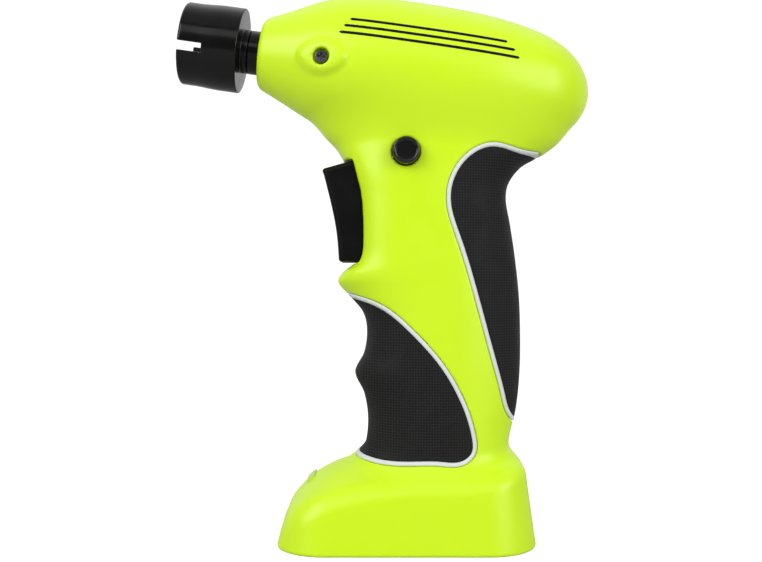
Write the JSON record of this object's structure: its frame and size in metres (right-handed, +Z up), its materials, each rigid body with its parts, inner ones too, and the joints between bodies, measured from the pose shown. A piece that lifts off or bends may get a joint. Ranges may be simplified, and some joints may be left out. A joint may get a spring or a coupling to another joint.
{
  "type": "string winder",
  "caption": "Powered string winder with a pistol handle: slotted socket for tuning pegs, trigger, direction button, rubber grips and a flat foot",
  "frame": {"origin": "middle of the flat underside of the foot, on the parting plane", "axes": "+Z up from the foot, -X the way the peg socket points, Y across; the barrel leans 8 degrees, nose up"},
  "size_m": [0.1253, 0.0456, 0.1652],
  "materials": {
    "housing_plastic": "satin moulded",
    "grip_rubber": "matte, fine square texture",
    "piping_rubber": "matte",
    "black_plastic": "glossy moulded",
    "black_satin_plastic": "satin moulded",
    "white_nylon": "natural moulded",
    "black_screw_steel": "black oxide",
    "bright_steel": "bright",
    "spring_steel": "drawn wire",
    "gear_steel": "sintered",
    "bronze": "sintered bronze",
    "magnet_ferrite": "ferrite",
    "winding_copper": "enamelled copper",
    "cell_wrap": "shrink sleeve",
    "board_laminate": "green solder mask",
    "nickel": "nickel",
    "clear_plastic": "clear moulded"
  },
  "bodies": {
    "housing": {"left_shell": "housing_plastic", "right_shell": "housing_plastic", "left_front_grip": "grip_rubber", "right_front_grip": "grip_rubber", "left_rear_grip": "grip_rubber", "right_rear_grip": "grip_rubber", "left_front_piping": "piping_rubber", "right_front_piping": "piping_rubber", "left_rear_piping": "piping_rubber", "right_rear_piping": "piping_rubber", "nose_screws": "black_screw_steel", "housing_screws": "black_screw_steel", "motor_screws": "bright_steel", "gear_case": "white_nylon", "spindle_bushing": "bronze", "motor_plate": "bright_steel", "motor_can": "nickel", "motor_magnets": "magnet_ferrite", "motor_bushings": "bronze", "motor_end_bell": "black_satin_plastic", "motor_brushes": "winding_copper", "motor_terminals": "nickel", "trigger_spring": "spring_steel", "trigger_switch": "black_satin_plastic", "direction_switch": "black_satin_plastic", "battery_cell": "cell_wrap", "battery_tabs": "nickel", "charge_board": "board_laminate", "usb_c_receptacle": "nickel", "charge_led": "clear_plastic", "charge_window": "clear_plastic"},
    "spindle": {"peg_socket": "black_plastic", "drive_collar": "black_plastic", "output_spindle": "bright_steel", "spindle_clip": "spring_steel", "second_carrier": "gear_steel", "second_planet_pins": "bright_steel"},
    "rotor": {"motor_shaft": "bright_steel", "armature_core": "gear_steel", "armature_windings": "winding_copper", "commutator": "winding_copper", "first_sun_gear": "bronze"},
    "first_stage": {"first_carrier": "gear_steel", "second_sun_gear": "gear_steel", "first_planet_pins": "bright_steel"},
    "trigger_lever": {"trigger": "black_satin_plastic"},
    "direction_bolt": {"direction_button": "black_plastic", "direction_slider": "white_nylon"},
    "first_planet_a_body": {"first_planet_a": "white_nylon"},
    "second_planet_a_body": {"second_planet_a": "gear_steel"},
    "first_planet_b_body": {"first_planet_b": "white_nylon"},
    "second_planet_b_body": {"second_planet_b": "gear_steel"},
    "first_planet_c_body": {"first_planet_c": "white_nylon"},
    "second_planet_c_body": {"second_planet_c": "gear_steel"}
  },
  "joints": [
    {"name": "spindle_spin", "type": "hinge", "parent": "housing", "child": "spindle", "pos_m": [-0.0433, 0, 0.1483], "axis": [0.9903, 0, -0.1392], "continuous": true},
    {"name": "first_carrier_spin", "type": "hinge", "parent": "housing", "child": "first_stage", "pos_m": [-0.0433, 0, 0.1483], "axis": [0.9903, 0, -0.1392], "continuous": true},
    {"name": "rotor_spin", "type": "hinge", "parent": "housing", "child": "rotor", "pos_m": [-0.0433, 0, 0.1483], "axis": [0.9903, 0, -0.1392], "continuous": true},
    {"name": "second_planet_a_spin", "type": "hinge", "parent": "spindle", "child": "second_planet_a_body", "pos_m": [-0.0433, 0.0075, 0.1483], "axis": [0.9903, 0, -0.1392], "continuous": true},
    {"name": "first_planet_a_spin", "type": "hinge", "parent": "first_stage", "child": "first_planet_a_body", "pos_m": [-0.0433, 0.0075, 0.1483], "axis": [0.9903, 0, -0.1392], "continuous": true},
    {"name": "second_planet_b_spin", "type": "hinge", "parent": "spindle", "child": "second_planet_b_body", "pos_m": [-0.0424, -0.00375, 0.15473], "axis": [0.9903, 0, -0.1392], "continuous": true},
    {"name": "first_planet_b_spin", "type": "hinge", "parent": "first_stage", "child": "first_planet_b_body", "pos_m": [-0.0424, -0.00375, 0.15473], "axis": [0.9903, 0, -0.1392], "continuous": true},
    {"name": "second_planet_c_spin", "type": "hinge", "parent": "spindle", "child": "second_planet_c_body", "pos_m": [-0.0442, -0.00375, 0.14187], "axis": [0.9903, 0, -0.1392], "continuous": true},
    {"name": "first_planet_c_spin", "type": "hinge", "parent": "first_stage", "child": "first_planet_c_body", "pos_m": [-0.0442, -0.00375, 0.14187], "axis": [0.9903, 0, -0.1392], "continuous": true},
    {"name": "trigger_slide", "type": "slide", "parent": "housing", "child": "trigger_lever", "axis": [1, 0, 0], "range_m": [0, 0.0035], "stiffness_N_per_m": 400, "springref_m": -0.004, "deforming": ["trigger_spring"]},
    {"name": "direction_slide", "type": "slide", "parent": "housing", "child": "direction_bolt", "axis": [0, 1, 0], "range_m": [0, 0.003]}
  ],
  "couplings": [
    {"joint": "first_carrier_spin", "follows": "spindle_spin", "ratio": 5},
    {"joint": "rotor_spin", "follows": "spindle_spin", "ratio": 25},
    {"joint": "second_planet_a_spin", "follows": "spindle_spin", "ratio": -2.6667},
    {"joint": "first_planet_a_spin", "follows": "spindle_spin", "ratio": -13.333},
    {"joint": "second_planet_b_spin", "follows": "spindle_spin", "ratio": -2.6667},
    {"joint": "first_planet_b_spin", "follows": "spindle_spin", "ratio": -13.333},
    {"joint": "second_planet_c_spin", "follows": "spindle_spin", "ratio": -2.6667},
    {"joint": "first_planet_c_spin", "follows": "spindle_spin", "ratio": -13.333}
  ]
}
